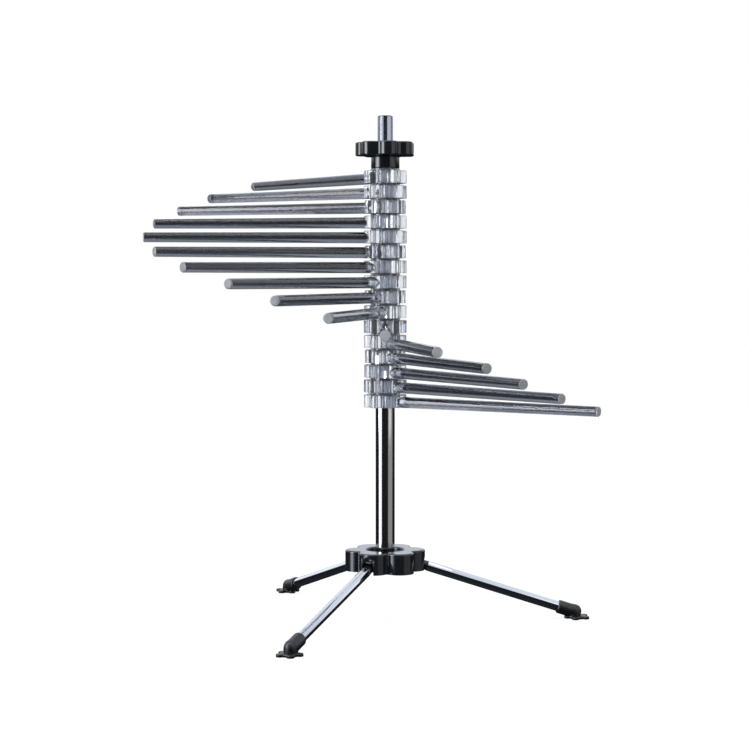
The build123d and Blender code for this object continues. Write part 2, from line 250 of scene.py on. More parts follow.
# Zinc plated fasteners: pale grey and slightly milky
ZINC = Finish("zinc plated steel", "#A9AAAB", 0.32, metallic=1.0, grain_mm=0.6, mottle=0.25)
# Black rubber, moulded: no gloss, a fine tooth that spreads the light
RUBBER = Finish("black rubber", "#08090B", 0.42, 1.52, grain_mm=0.5, relief_mm=0.04, mottle=0.15)
# Glass filled nylon of the plug inside the tube: dull dark grey
PLUG_NYLON = Finish("glass filled nylon", "#1B1B1B", 0.5, 1.53, grain_mm=0.7, relief_mm=0.01, mottle=0.2)


def new_object(name: str, mesh: bpy.types.Mesh) -> Piece:
    """Puts a mesh into the scene as an object at the origin.

    Args:
        name: Name of the object.
        mesh: Its mesh.

    Returns:
        The object.
    """
    thing = bpy.data.objects.new(name, mesh)
    bpy.context.scene.collection.objects.link(thing)
    return thing


def shell_object(name: str, shell: bmesh.types.BMesh) -> Piece:
    """Turns a finished shell into an object and frees the shell.

    Args:
        name: Name of the object and its mesh.
        shell: Vertices and faces in the rack's frame.

    Returns:
        The object.
    """
    mesh = bpy.data.meshes.new(name)
    shell.to_mesh(mesh)
    shell.free()
    return new_object(name, mesh)


def smooth(mesh: bpy.types.Mesh, crease: float = 35.0) -> None:
    """Shades a mesh smooth, with sharp edges past an angle.

    Args:
        mesh: Mesh to shade.
        crease: Angle in degrees from which an edge stays sharp.
    """
    mesh.shade_smooth()
    mesh.set_sharp_from_angle(angle=math.radians(crease))


def settle(thing: Piece, finish: Finish, body: str, nodes: Iterable[str]) -> None:
    """Gives a finished piece its material, its body and the CAD nodes it stands for.

    Args:
        thing: Finished piece, with its place in its mesh.
        finish: Material of the piece.
        body: Body on which it rides.
        nodes: CAD nodes that it replaces.
    """
    material = finish.build()
    if not thing.data.materials:
        thing.data.materials.append(material)
    for index in range(len(thing.data.materials)):
        thing.data.materials[index] = material
    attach(thing, body)
    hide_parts(*nodes)
    LOG.info("%s rides on %s in %s", thing.name, body, material.name)


def dress(node: str, finish: Finish) -> None:
    """Gives a CAD node that stays its material.

    Args:
        node: Name of the CAD node.
        finish: Its material.
    """
    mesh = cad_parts[node].data
    mesh.materials.clear()
    mesh.materials.append(finish.build())
    LOG.info("%s keeps its solid, in %s", node, finish.name)


def freeze(thing: Piece) -> Piece:
    """Turns a piece with live modifiers into a plain mesh.

    Args:
        thing: Object with modifiers.

    Returns:
        The same object, with the result as its mesh and no modifier.
    """
    bpy.context.view_layer.update()
    result = bpy.data.meshes.new_from_object(thing.evaluated_get(bpy.context.evaluated_depsgraph_get()))
    thing.modifiers.clear()
    old = thing.data
    thing.data = result
    bpy.data.meshes.remove(old)
    return thing


def arc(centre: tuple[float, float], radius: float, start: float, end: float, steps: int = 6) -> list[tuple]:
    """Points of an arc in a profile.

    Args:
        centre: Centre of the arc, as a distance from the axis and a height.
        radius: Radius of the arc.
        start: First angle in degrees, from outwards towards up.
        end: Last angle in degrees.
        steps: Steps along the arc.

    Returns:
        Points as distance from the axis and height.
    """
    angles = (math.radians(start + (end - start) * step / steps) for step in range(steps + 1))
    return [(centre[0] + radius * math.cos(a), centre[1] + radius * math.sin(a)) for a in angles]


def tube_profile(radius: float, bore: float, foot: float, top: float, lip: float) -> list[tuple]:
    """Profile of a tube with rounded ends.

    Args:
        radius: Outer radius.
        bore: Inner radius.
        foot: Height of the lower end.
        top: Height of the upper end.
        lip: Radius of each rounded edge.

    Returns:
        Points as distance from the axis and height.
    """
    profile = arc((radius - lip, foot + lip), lip, -90, 0)
    profile += arc((radius - lip, top - lip), lip, 0, 90)
    profile += arc((bore + lip, top - lip), lip, 90, 180)
    return profile + arc((bore + lip, foot + lip), lip, 180, 270)


def lathe(name: str, profile: Sequence[tuple], segments: int = 96) -> Piece:
    """Turns a closed profile about the Z axis.

    Args:
        name: Name of the new object.
        profile: Points as distance from the axis and height, counterclockwise with the axis at the left.
        segments: Steps round the axis.

    Returns:
        A closed smooth piece.
    """
    shell = bmesh.new()
    rings = []
    for radius, height in profile:
        if radius < ON_AXIS:
            rings.append([shell.verts.new((0, 0, height))] * segments)
            continue
        angles = (2 * math.pi * step / segments for step in range(segments))
        rings.append([shell.verts.new((radius * math.cos(a), radius * math.sin(a), height)) for a in angles])
    for lower, upper in zip(rings, rings[1:] + rings[:1]):
        for step in range(segments):
            after = (step + 1) % segments
            corners = list(dict.fromkeys((lower[step], lower[after], upper[after], upper[step])))
            if len(corners) > 2:
                shell.faces.new(corners)
    bmesh.ops.recalc_face_normals(shell, faces=shell.faces)
    thing = shell_object(name, shell)
    smooth(thing.data)
    return thing


@dataclass
class MouldedArmTree:
    """Geometry Nodes tree of one moulded arm: a lobed ring with rounded edges, its boss and its rod."""

    name: str = "moulded arm"
    ring_steps: int = 224
    edge_steps: int = 3
    rod_steps: int = 36
    rod_sides: int = 40
    tip_crowding: float = 3.0
    tree: Tree | None = None
    sockets: dict[str, str] = field(default_factory=dict)

    def node(self, kind: str, sockets: dict | None = None, **settings) -> Socket:
        """Adds one node and gives its first output."""
        return add_node(self.tree, kind, sockets, **settings).outputs[0]

    def sum(self, operation: str, *values: float | Socket) -> Socket:
        """Adds one math node and gives its result."""
        return calculate(self.tree, operation, *values)

    def vector(self, **axes: Socket) -> Socket:
        """Adds a vector with the named axes, X, Y or Z."""
        return self.node("ShaderNodeCombineXYZ", axes)

    def add_input(self, label: str, kind: str) -> None:
        """Declares one named input of the tree and remembers its identifier."""
        socket = self.tree.interface.new_socket(name=label, in_out="INPUT", socket_type=kind)
        self.sockets[label] = socket.identifier

    def stepped_ring(self, inputs: Mapping[str, Socket]) -> Socket:
        """Adds the nodes that sweep the flange and its boss round the mast as one stepped section.

        Args:
            inputs: Outputs of the tree's group input.

        Returns:
            Socket of the round ring's mesh, before its lobes.
        """
        corners = (("bore", None), ("flange_radius", None), ("flange_radius", "flange_height"),
                   ("boss_radius", "flange_height"), ("boss_radius", "pitch"), ("bore", "pitch"))
        picked = add_node(self.tree, "GeometryNodeIndexSwitch",
                          {"Index": self.node("GeometryNodeInputIndex")}, data_type="VECTOR")
        while len(picked.index_switch_items) < len(corners):
            picked.index_switch_items.new()
        for number, (distance, level) in enumerate(corners, start=1):
            corner = {"X": self.sum("SUBTRACT", inputs[distance], inputs["path_radius"])}
            if level:
                # A section's own Y points down on this path
                corner["Y"] = self.sum("MULTIPLY", inputs[level], -1.0)
            self.tree.links.new(self.vector(**corner), picked.inputs[number])
        section = self.node("GeometryNodeMeshLine", {"Count": len(corners)})
        section = self.node("GeometryNodeSetPosition", {"Geometry": section, "Position": picked.outputs[0]})
        section = self.node("GeometryNodeMeshToCurve", {"Mesh": section})
        section = self.node("GeometryNodeSetSplineCyclic", {"Geometry": section, "Cyclic": True})
        section = self.node("GeometryNodeFilletCurve", {
            "Curve": section, "Count": self.edge_steps, "Radius": inputs["edge"], "Limit Radius": True},
            mode="POLY")
        path = self.node("GeometryNodeCurvePrimitiveCircle",
                         {"Resolution": self.ring_steps, "Radius": inputs["path_radius"]}, mode="RADIUS")
        return self.node("GeometryNodeCurveToMesh", {"Curve": path, "Profile Curve": section})

    def lobed(self, ring: Socket, inputs: Mapping[str, Socket]) -> Socket:
        """Adds the nodes that draw a round flange in to the lobed outline.

        The distance of each point outside the boss is shared out anew between the boss and the outline,
        which is an arc of a lobe near the lobe's own bearing and an arc of a hollow between the lobes.

        Args:
            ring: Socket of the round ring's mesh.
            inputs: Outputs of the tree's group input.

        Returns:
            Socket of the lobed ring's mesh.
        """
        lobe_circle, hollow_circle, boss = (
            inputs[label] for label in ("lobe_circle", "hollow_circle", "boss_radius"))
        place = self.node("GeometryNodeInputPosition")
        x, y, z = add_node(self.tree, "ShaderNodeSeparateXYZ", {0: place}).outputs
        flat = self.vector(X=x, Y=y)
        distance = add_node(self.tree, "ShaderNodeVectorMath", {0: flat}, operation="LENGTH").outputs["Value"]
        # Angle to the nearest lobe, from nothing to half a step
        half = self.sum("MULTIPLY", self.sum("DIVIDE", 2 * math.pi, inputs["lobes"]), 0.5)
        folded = self.sum("PINGPONG", self.sum("ARCTAN2", y, x), half)
        near = self.sum("SUBTRACT", half, folded)
        # The lobe's arc, seen from the axis
        lobe_side = self.sum("MULTIPLY", self.sum("SINE", folded), lobe_circle)
        lobe_leg = self.other_leg(inputs["lobe_radius"], lobe_side)
        lobe_edge = self.sum("MULTIPLY_ADD", self.sum("COSINE", folded), lobe_circle, lobe_leg)
        # The hollow's arc, seen from the axis
        hollow_side = self.sum("MULTIPLY", self.sum("SINE", near), hollow_circle)
        hollow_leg = self.other_leg(inputs["hollow_radius"], hollow_side)
        hollow_centre = self.sum("MULTIPLY", self.sum("COSINE", near), hollow_circle)
        hollow_edge = self.sum("SUBTRACT", hollow_centre, hollow_leg)
        on_lobe = self.sum("LESS_THAN", folded, inputs["turnover"])
        edge = self.node("ShaderNodeMix", {0: on_lobe, 2: hollow_edge, 3: lobe_edge}, data_type="FLOAT")
        # The point's new distance: its own up to the boss, and from there a share of the way out
        depth = self.sum("SUBTRACT", edge, boss)
        past = map_range(self.tree, distance, boss, inputs["flange_radius"], 0.0, depth)
        share = self.sum("ADD", self.sum("MINIMUM", distance, boss), past)
        growth = self.sum("DIVIDE", share, distance)
        reach = self.node("ShaderNodeVectorMath", {0: flat, "Scale": growth}, operation="SCALE")
        moved = self.node("ShaderNodeVectorMath", {0: reach, 1: self.vector(Z=z)}, operation="ADD")
        return self.node("GeometryNodeSetPosition", {"Geometry": ring, "Position": moved})

    def other_leg(self, slope: Socket, leg: Socket) -> Socket:
        """Adds the nodes for the second leg of a right triangle.

        Args:
            slope: Length of the triangle's slope.
            leg: Length of its first leg.

        Returns:
            Socket of the length, nought where the first leg is too long.
        """
        slope_square, leg_square = (self.sum("MULTIPLY", side, side) for side in (slope, leg))
        left = self.sum("SUBTRACT", slope_square, leg_square)
        return self.sum("POWER", self.sum("MAXIMUM", left, 0.0), 0.5)

    def rod(self, inputs: Mapping[str, Socket]) -> Socket:
        """Adds the nodes of the tapered rod with its rounded tip.

        Args:
            inputs: Outputs of the tree's group input.

        Returns:
            Socket of the rod's mesh.
        """
        root, reach, height, tip_round = (
            inputs[label] for label in ("rod_start", "reach", "rod_height", "tip_round"))
        line = self.node("GeometryNodeCurvePrimitiveLine", {
            "Start": self.vector(X=root, Z=height), "End": self.vector(X=reach, Z=height)}, mode="POINTS")
        line = self.node("GeometryNodeResampleCurve", {"Curve": line, "Count": self.rod_steps}, mode="COUNT")
        # Points crowd towards the tip, so that it can be rounded
        number = add_node(self.tree, "GeometryNodeSplineParameter").outputs["Index"]
        along = self.sum("DIVIDE", number, self.rod_steps - 1.0)
        crowd = self.sum("POWER", self.sum("SUBTRACT", 1.0, along), self.tip_crowding)
        length = self.sum("SUBTRACT", reach, root)
        back = self.sum("MULTIPLY", length, crowd)
        point = self.vector(X=self.sum("SUBTRACT", reach, back), Z=height)
        line = self.node("GeometryNodeSetPosition", {"Geometry": line, "Position": point})
        taper = map_range(self.tree, back, 0.0, length, inputs["tip_radius"], inputs["root_radius"])
        # Within the tip's rounding the radius falls away along a quarter of a circle
        lack = self.sum("MAXIMUM", self.sum("SUBTRACT", tip_round, back), 0.0)
        fall = self.sum("SUBTRACT", tip_round, self.other_leg(tip_round, lack))
        section = self.node("GeometryNodeCurvePrimitiveCircle",
                            {"Resolution": self.rod_sides, "Radius": 1.0}, mode="RADIUS")
        return self.node("GeometryNodeCurveToMesh", {
            "Curve": line, "Profile Curve": section, "Scale": self.sum("SUBTRACT", taper, fall),
            "Fill Caps": True})

    def build(self) -> "MouldedArmTree":
        """Builds the whole tree.

        Returns:
            This object, with its tree ready.
        """
        self.tree = bpy.data.node_groups.new(self.name, "GeometryNodeTree")
        for label in ("lobe_circle", "lobe_radius", "hollow_circle", "hollow_radius", "turnover", "bore",
                      "path_radius", "flange_radius", "flange_height", "boss_radius", "pitch", "edge",
                      "rod_start", "reach", "rod_height", "root_radius", "tip_radius", "tip_round",
                      "ring_foot", "bearing"):
            self.add_input(label, "NodeSocketFloat")
        self.add_input("lobes", "NodeSocketInt")
        self.add_input("material", "NodeSocketMaterial")
        self.tree.interface.new_socket(name="Geometry", in_out="OUTPUT", socket_type="NodeSocketGeometry")
        inputs = add_node(self.tree, "NodeGroupInput").outputs
        ring = self.lobed(self.stepped_ring(inputs), inputs)
        union = add_node(self.tree, "GeometryNodeMeshBoolean", {"Mesh 2": ring}, operation="UNION",
                         solver="EXACT")
        self.tree.links.new(self.rod(inputs), union.inputs["Mesh 2"])
        turn = self.node("FunctionNodeEulerToRotation", {"Euler": self.vector(Z=inputs["bearing"])})
        whole = self.node("GeometryNodeTransform", {
            "Geometry": union.outputs["Mesh"], "Translation": self.vector(Z=inputs["ring_foot"]),
            "Rotation": turn})
        whole = self.node("GeometryNodeRealizeInstances", {"Geometry": whole})
        whole = self.node("GeometryNodeSetMaterial", {"Geometry": whole, "Material": inputs["material"]})
        add_node(self.tree, "NodeGroupOutput", {"Geometry": whole})
        return self


@dataclass
class ArmFan:
    """Sixteen clear arms, stacked on the rod and fanned out."""

    stack_top: float = 378.0 * MM
    pitch: float = 12.4 * MM
    flange_height: float = 10.6 * MM
    boss_radius: float = 12.2 * MM
    bore: float = 6.62 * MM
    lobes: int = 8
    lobe_circle: float = 13.4 * MM
    lobe_radius: float = 4.5 * MM
    hollow_radius: float = 2.0 * MM
    edge: float = 0.5 * MM
    reach: float = 200.0 * MM
    rod_start: float = 9.3 * MM
    rod_height: float = 4.7 * MM
    root_radius: float = 4.7 * MM
    tip_radius: float = 4.05 * MM
    tip_round: float = 1.2 * MM
    crease: float = 30.0
    ring_haze: float = 0.35
    bearings: tuple[float, ...] = (
        127, 142, 155, 170, 187, 204, 219, 234, 246, 258, 270, 281, 292, 301, 312, 326)

    def hollow_circle(self) -> float:
        """Works out where the hollows' arcs are centred, so that each is tangent to its lobes.

        Returns:
            Distance of the centres from the mast's axis.
        """
        half_step = math.pi / self.lobes
        between = self.lobe_radius + self.hollow_radius
        across = self.lobe_circle * math.sin(half_step)
        return self.lobe_circle * math.cos(half_step) + math.sqrt(between**2 - across**2)

    def turnover(self) -> float:
        """Works out where a lobe's arc passes into a hollow's.

        Returns:
            Angle from the lobe's own bearing, in radians.
        """
        half_step = math.pi / self.lobes
        share = self.lobe_radius / (self.lobe_radius + self.hollow_radius)
        hollow = self.hollow_circle()
        x = self.lobe_circle + (hollow * math.cos(half_step) - self.lobe_circle) * share
        return math.atan2(hollow * math.sin(half_step) * share, x)

    def cloud(self, mesh: bpy.types.Mesh) -> None:
        """Marks where an arm is milky: a little on its thick ring, fully on its matt end.

        Args:
            mesh: Mesh of one arm.
        """
        haze = mesh.attributes.new(ARM_PLASTIC.haze_mark, "FLOAT", "FACE")
        ring_edge, end = self.lobe_circle + self.lobe_radius, self.reach - self.tip_round
        for face in mesh.polygons:
            distance = face.center.xy.length
            haze.data[face.index].value = self.ring_haze * (distance < ring_edge) + (distance > end)

    def build(self) -> None:
        """Builds every arm from the one tree and puts it on its body."""
        moulding = MouldedArmTree().build()
        # The tree's inputs are named for the fields of this class, and for these
        values = vars(self) | {
            "hollow_circle": self.hollow_circle(), "turnover": self.turnover(),
            "path_radius": self.lobe_circle, "flange_radius": self.lobe_circle + self.lobe_radius,
            "material": ARM_PLASTIC.build()}
        for number, bearing in enumerate(self.bearings, start=1):
            node = f"arm_{number:02d}"
            arm = new_object(f"clear_{node}", bpy.data.meshes.new(node))
            modifier = arm.modifiers.new("moulding", "NODES")
            modifier.node_group = moulding.tree
            values |= {"ring_foot": self.stack_top - number * self.pitch, "bearing": math.radians(bearing)}
            for label, identifier in moulding.sockets.items():
                modifier[identifier] = values[label]
            freeze(arm)
            smooth(arm.data, self.crease)
            self.cloud(arm.data)
            settle(arm, ARM_PLASTIC, node, [node])


@dataclass
class Mast:
    """Steel tube and the clear rod that stands in it."""

    tube_radius: float = 8.0 * MM
    tube_bore: float = 6.6 * MM
    tube_foot: float = 48.5 * MM
    tube_top: float = 179.6 * MM
    rod_radius: float = 6.5 * MM
    rod_foot: float = 147.6 * MM
    rod_top: float = 421.5 * MM
    lip: float = 0.35 * MM
    crown: float = 1.3 * MM
    crown_steps: int = 10
    sides: int = 128

    def build(self) -> None:
        """Builds the tube and the rod and dresses the fasteners inside."""
        profile = tube_profile(self.tube_radius, self.tube_bore, self.tube_foot, self.tube_top, self.lip)
        settle(lathe("steel_tube", profile, self.sides), STAINLESS, "base", ["mast_tube"])
        lip, crown, radius = self.lip, self.crown, self.rod_radius
        profile = [(0, self.rod_foot)] + arc((radius - lip, self.rod_foot + lip), lip, -90, 0)
        profile += arc((radius - crown, self.rod_top - crown), crown, 0, 90, self.crown_steps)
        profile += [(0, self.rod_top)]
        settle(lathe("clear_rod", profile, self.sides), ROD_PLASTIC, "base", ["core_rod"])
        dress("tube_plug", PLUG_NYLON)
        dress("mast_bolt", ZINC)
        dress("mast_washer", ZINC)


@dataclass
class RimRounder:
    """Rounds chosen rims on a copy of a CAD node."""

    radius: float
    steps: int = 5
    sharp: float = 50.0
    merge: float = 0.002 * MM
    flatness: float = 0.5
    flat_weight: int = 100

    def copy(self, node: str, name: str, chosen: Callable[[Vector, Vector], bool]) -> Piece:
        """Copies a node, cleans its faces and rounds its rims.

        Args:
            node: CAD node to copy.
            name: Name of the new piece.
            chosen: Function of an edge's two ends that says whether it is rounded.

        Returns:
            The new piece, with no modifier left.
        """
        shell = bmesh.new()
        shell.from_mesh(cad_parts[node].data)
        bmesh.ops.remove_doubles(shell, verts=shell.verts, dist=self.merge)
        bmesh.ops.dissolve_limit(shell, angle_limit=math.radians(self.flatness), verts=shell.verts,
                                 edges=shell.edges)
        weight = shell.edges.layers.float.new("bevel_weight_edge")
        for edge in shell.edges:
            bent = len(edge.link_faces) == 2 and edge.calc_face_angle(0) > math.radians(self.sharp)
            edge[weight] = 1.0 if bent and chosen(edge.verts[0].co, edge.verts[1].co) else 0.0
        thing = shell_object(name, shell)
        bevel = thing.modifiers.new("rims", "BEVEL")
        bevel.limit_method = "WEIGHT"
        bevel.width = self.radius
        bevel.segments = self.steps
        bevel.use_clamp_overlap = False
        freeze(thing)
        smooth(thing.data)
        # The broad flats keep their own normals, so that they mirror the room without a bend
        flats = thing.modifiers.new("flats", "WEIGHTED_NORMAL")
        flats.keep_sharp = True
        flats.weight = self.flat_weight
        return freeze(thing)


@dataclass
class Clamp:
    """Black sleeve and star knob that press the rings together."""

    foot: float = 378.0 * MM
    seam: float = 388.3 * MM
    top: float = 399.6 * MM
    sleeve_radius: float = 11.8 * MM
    bore: float = 6.65 * MM
    spigot_radius: float = 9.0 * MM
    spigot_top: float = 391.3 * MM
    edge: float = 0.6 * MM
    knob_inside: float = 17.0 * MM
    knob_round: float = 1.0 * MM

    def build(self) -> None:
        """Builds the sleeve and the knob."""
        edge, radius = self.edge, self.sleeve_radius
        profile = [(self.bore, self.foot)] + arc((radius - edge, self.foot + edge), edge, -90, 0)
        profile += arc((radius - edge, self.seam - edge), edge, 0, 90)
        profile += [(self.spigot_radius, self.seam), (self.spigot_radius, self.spigot_top)]
        profile += [(self.bore, self.spigot_top)]
        settle(lathe("black_sleeve", profile), BLACK_GLOSS, "sleeve", ["pressure_sleeve"])
        knob = RimRounder(self.knob_round).copy("star_knob", "black_star_knob", self.outer_rim)
        settle(knob, BLACK_GLOSS, "knob", ["star_knob"])

    def outer_rim(self, a: Vector, b: Vector) -> bool:
        """Finds the knob's outer rims, above and below.

        Args:
            a: One end of an edge.
            b: Its other end.

        Returns:
            Whether the edge is part of them.
        """
        level = min(abs(a.z - self.top), abs(a.z - self.seam))
        outside = min(a.xy.length, b.xy.length) > self.knob_inside
        return abs(a.z - b.z) < SAME_LEVEL and level < ON_FACE and outside


@dataclass
class Hub:
    """Six lobed hub with its cover, screws and leg pins."""

    top: float = 60.0 * MM
    inside: float = 24.0 * MM
    recess: float = 15.5 * MM
    rim_round: float = 1.6 * MM

    def build(self) -> None:
        """Builds the hub's rounded moulding and dresses what stays."""
        hub = RimRounder(self.rim_round).copy("base_hub", "black_hub", self.shown_rim)
        settle(hub, BLACK_GLOSS, "base", ["base_hub"])
        dress("base_cover", BLACK_SATIN)
        dress("cover_screws", ZINC)
        dress("leg_pins", ZINC)

    def shown_rim(self, a: Vector, b: Vector) -> bool:
        """Finds the rims of the hub's top, its outline and the edge of its recess.

        Args:
            a: One end of an edge.
            b: Its other end.

        Returns:
            Whether the edge is part of them.
        """
        distances = (a.xy.length, b.xy.length)
        outside = min(distances) > self.inside
        sunk = all(abs(distance - self.recess) < ON_CIRCLE for distance in distances)
        return abs(a.z - b.z) < SAME_LEVEL and abs(a.z - self.top) < ON_FACE and (outside or sunk)


@dataclass
class Leg:
    """One leg: chrome tube, nylon knuckle and rubber foot."""

    number: int
    bearing: float
    pivot_radius: float = 22.0 * MM
    pivot_height: float = 50.0 * MM
    ankle_radius: float = 160.0 * MM
    ankle_height: float = 5.8 * MM
    tube_radius: float = 4.3 * MM
    tube_bore: float = 3.5 * MM
    tube_start: float = 14.1 * MM
    tube_setback: float = 2.0 * MM
    tube_lip: float = 0.3 * MM
    tube_sides: int = 64
    boot_radius: float = 5.7 * MM
    boot_grip: float = 14.9 * MM
    boot_bore: float = 4.33 * MM
    boot_lip: float = 1.3 * MM
    boot_sides: int = 56
    mouth_steps: int = 5
    heel_pinch: float = 0.25 * MM
    heel_bulge: float = 2.1 * MM
    heel_steps: int = 12
    pad_centre: float = 162.7 * MM
    pad_thickness: float = 2.4 * MM
    pad_rim: float = 0.7 * MM
    sole_share: float = 0.25
    rim_steps: int = 4
    petals: int = 5
    petal_circle: float = 8.0 * MM
    petal_radius: float = 3.0 * MM
    petal_span: float = 225.0
    petal_steps: int = 18
    crease: float = 50.0

    def length(self) -> float:
        """Distance from the pin to the ankle."""
        return math.hypot(self.ankle_radius - self.pivot_radius, self.pivot_height - self.ankle_height)

    def slope(self) -> float:
        """Angle of the leg below the horizontal, in radians."""
        return math.atan2(self.pivot_height - self.ankle_height, self.ankle_radius - self.pivot_radius)

    def tube(self) -> Piece:
        """Builds the chrome tube with its rolled ends and lays it on the spread leg.

        Returns:
            The tube, which runs from the knuckle into the boot.
        """
        end = self.length() - self.tube_setback
        profile = tube_profile(self.tube_radius, self.tube_bore, self.tube_start, end, self.tube_lip)
        thing = lathe(f"chrome_leg_{self.number}", profile, self.tube_sides)
        tilt = Matrix.Rotation(math.pi / 2 + self.slope(), 4, "Y")
        pivot = Matrix.Translation((self.pivot_radius, 0, self.pivot_height))
        thing.data.transform(Matrix.Rotation(math.radians(self.bearing), 4, "Z") @ pivot @ tilt)
        return thing

    def boot(self) -> Piece:
        """Builds the boot: a sleeve with a rolled mouth, then a full heel that turns down to the pad.

        Returns:
            The closed boot, modelled along X.
        """
        across = Vector((0, 1, 0))
        heading = Vector((math.cos(self.slope()), 0, -math.sin(self.slope())))
        heel = Vector((self.ankle_radius, 0, self.ankle_height))
        mouth = heel - heading * self.boot_grip
        radius, lip = self.boot_radius, self.boot_lip
        # Each ring has a centre, the direction of the boot there, and its half height
        rings = [(heel - heading * self.tube_setback, heading, self.boot_bore),
                 (mouth + heading * lip, heading, self.boot_bore)]
        rings += [(mouth + heading * (lip + rise), heading, distance)
                  for distance, rise in arc((radius - lip, 0), lip, 270, 360, self.mouth_steps)]
        turn = math.pi / 2 - self.slope()
        to_pivot = Matrix.Rotation(turn / 2, 3, "Y") @ heading.cross(across)
        pivot = heel - to_pivot * (radius + self.heel_pinch) / math.cos(turn / 2)
        for step in range(self.heel_steps + 1):
            share = step / self.heel_steps
            ahead = Matrix.Rotation(turn * share, 3, "Y") @ heading
            height = radius + self.heel_bulge / 2 * math.sin(math.pi * share) ** 2
            rings.append((pivot + ahead.cross(across) * (self.heel_pinch + height), ahead, height))
        shell = bmesh.new()
        loops = []
        for centre, ahead, size in rings:
            side, up = min(size, radius) * across, size * ahead.cross(across)
            angles = (2 * math.pi * step / self.boot_sides for step in range(self.boot_sides))
            loops.append([shell.verts.new(centre + math.cos(a) * side + math.sin(a) * up) for a in angles])
        return self.skin(shell, loops, f"boot_{self.number}")

    def skin(self, shell: bmesh.types.BMesh, loops: list[list[bmesh.types.BMVert]], name: str) -> Piece:
        """Skins rings of vertices into one closed piece.

        Args:
            shell: Mesh that holds the vertices; it is freed here.
            loops: Rings with the same number of vertices each, in order.
            name: Name of the object.

        Returns:
            The closed object.
        """
        for lower, upper in zip(loops, loops[1:]):
            for side in range(len(lower)):
                after = (side + 1) % len(lower)
                shell.faces.new((lower[side], lower[after], upper[after], upper[side]))
        shell.faces.new(loops[0])
        shell.faces.new(loops[-1])
        bmesh.ops.recalc_face_normals(shell, faces=shell.faces)
        return shell_object(name, shell)

    def pad(self) -> Piece:
        """Builds the flat pad with its petals and their rounded rims.

        Returns:
            The closed pad, modelled along X.
        """
        outline = []
        for petal in range(self.petals):
            facing = math.pi + 2 * math.pi * petal / self.petals
            centre = self.petal_circle * Vector((math.cos(facing), math.sin(facing)))
            for step in range(self.petal_steps + 1):
                angle = facing + math.radians(self.petal_span) * (step / self.petal_steps - 0.5)
                outline.append(centre + self.petal_radius * Vector((math.cos(angle), math.sin(angle))))
        rim, sole = self.pad_rim, self.sole_share * self.pad_rim
        quarter = (math.pi / 2 * step / self.rim_steps for step in range(self.rim_steps + 1))
        crown = [(self.pad_thickness - rim + rim * math.sin(a), rim * (1 - math.cos(a))) for a in quarter]
        shell = bmesh.new()
        loops = []
        for height, inset in [(0.0, sole), (sole, 0.0)] + crown:
            ring = []
            for index, point in enumerate(outline):
                side = (outline[(index + 1) % len(outline)] - outline[index - 1]).normalized()
                place = point + inset * Vector((-side.y, side.x))
                ring.append(shell.verts.new((self.pad_centre + place.x, place.y, height)))
            loops.append(ring)
        return self.skin(shell, loops, f"rubber_foot_{self.number}")

    def foot(self) -> Piece:
        """Joins boot and pad into one rubber foot.

        Returns:
            The foot, turned to its leg's bearing.
        """
        pad, boot = self.pad(), self.boot()
        join = pad.modifiers.new("moulded on", "BOOLEAN")
        join.operation, join.solver, join.object = "UNION", "EXACT", boot
        freeze(pad)
        old = boot.data
        bpy.data.objects.remove(boot)
        bpy.data.meshes.remove(old)
        pad.data.transform(Matrix.Rotation(math.radians(self.bearing), 4, "Z"))
        smooth(pad.data, self.crease)
        return pad

    def build(self) -> None:
        """Builds the leg's pieces and puts them on the leg's body."""
        body = f"leg_{self.number}"
        settle(self.tube(), CHROME, body, [f"leg_tube_{self.number}"])
        settle(self.foot(), RUBBER, body, [f"foot_{self.number}"])
        dress(f"leg_knuckle_{self.number}", BLACK_NYLON)


# Walls that polished parts see, by shares of a turn from the left towards the viewer: a tall softbox at
# the left, a grey card at the right, dark elsewhere
WALLS = ((0.0, "#151618"), (0.015, "#1E222A"), (0.03, "#E8EEFF"), (0.12, "#E8EEFF"), (0.14, "#17181A"),
         (0.34, "#18191B"), (0.36, "#8C8B88"), (0.5, "#8C8B88"), (0.53, "#151618"), (1.0, "#151618"))
# The middle of the softbox, where its lamp shines through the cloth
LAMP = ((0.035, BLACK), (0.055, WHITE), (0.09, WHITE), (0.11, BLACK))
# The room through clear parts, by shares of half a turn from straight behind: dark behind, pale at both sides
BACKDROP = ((0.0, "#24262B"), (0.045, "#2C2E34"), (0.06, WHITE), (0.17, WHITE), (0.2, "#86888C"),
            (0.32, "#96989C"), (0.36, WHITE), (0.5, "#E4E6EA"), (0.56, "#3A3C42"), (0.7, "#C8CACE"),
            (1.0, WHITE))
# Ceiling and floor of each room: where they set in and where they are full, as the sine of the elevation
WALL_ENDS = ((0.36, 0.52, "#CED5E0"), (-0.28, -0.44, "#1C1F24"))
BACKDROP_ENDS = ((-0.12, -0.22, "#1E2024"), (0.16, 0.3, "#A4A6AA"))


@dataclass(frozen=True)
class Softbox:
    """One soft light that faces the rack; its azimuth is in degrees from +X, its sizes in metres."""

    name: str
    azimuth: float
    height: float
    reach: float
    width: float
    tall: float
    watts: float
    aim_height: float = 0.2

    def build(self) -> None:
        """Puts the light into the scene."""
        lamp = bpy.data.lights.new(self.name, "AREA")
        lamp.shape = "RECTANGLE"
        lamp.size, lamp.size_y, lamp.energy = self.width, self.tall, self.watts
        light = bpy.data.objects.new(self.name, lamp)
        turn = math.radians(self.azimuth)
        light.location = (self.reach * math.cos(turn), self.reach * math.sin(turn), self.height)
        aim = Vector((0, 0, self.aim_height)) - light.location
        light.rotation_euler = aim.to_track_quat("-Z", "Y").to_euler()
        bpy.context.scene.collection.objects.link(light)


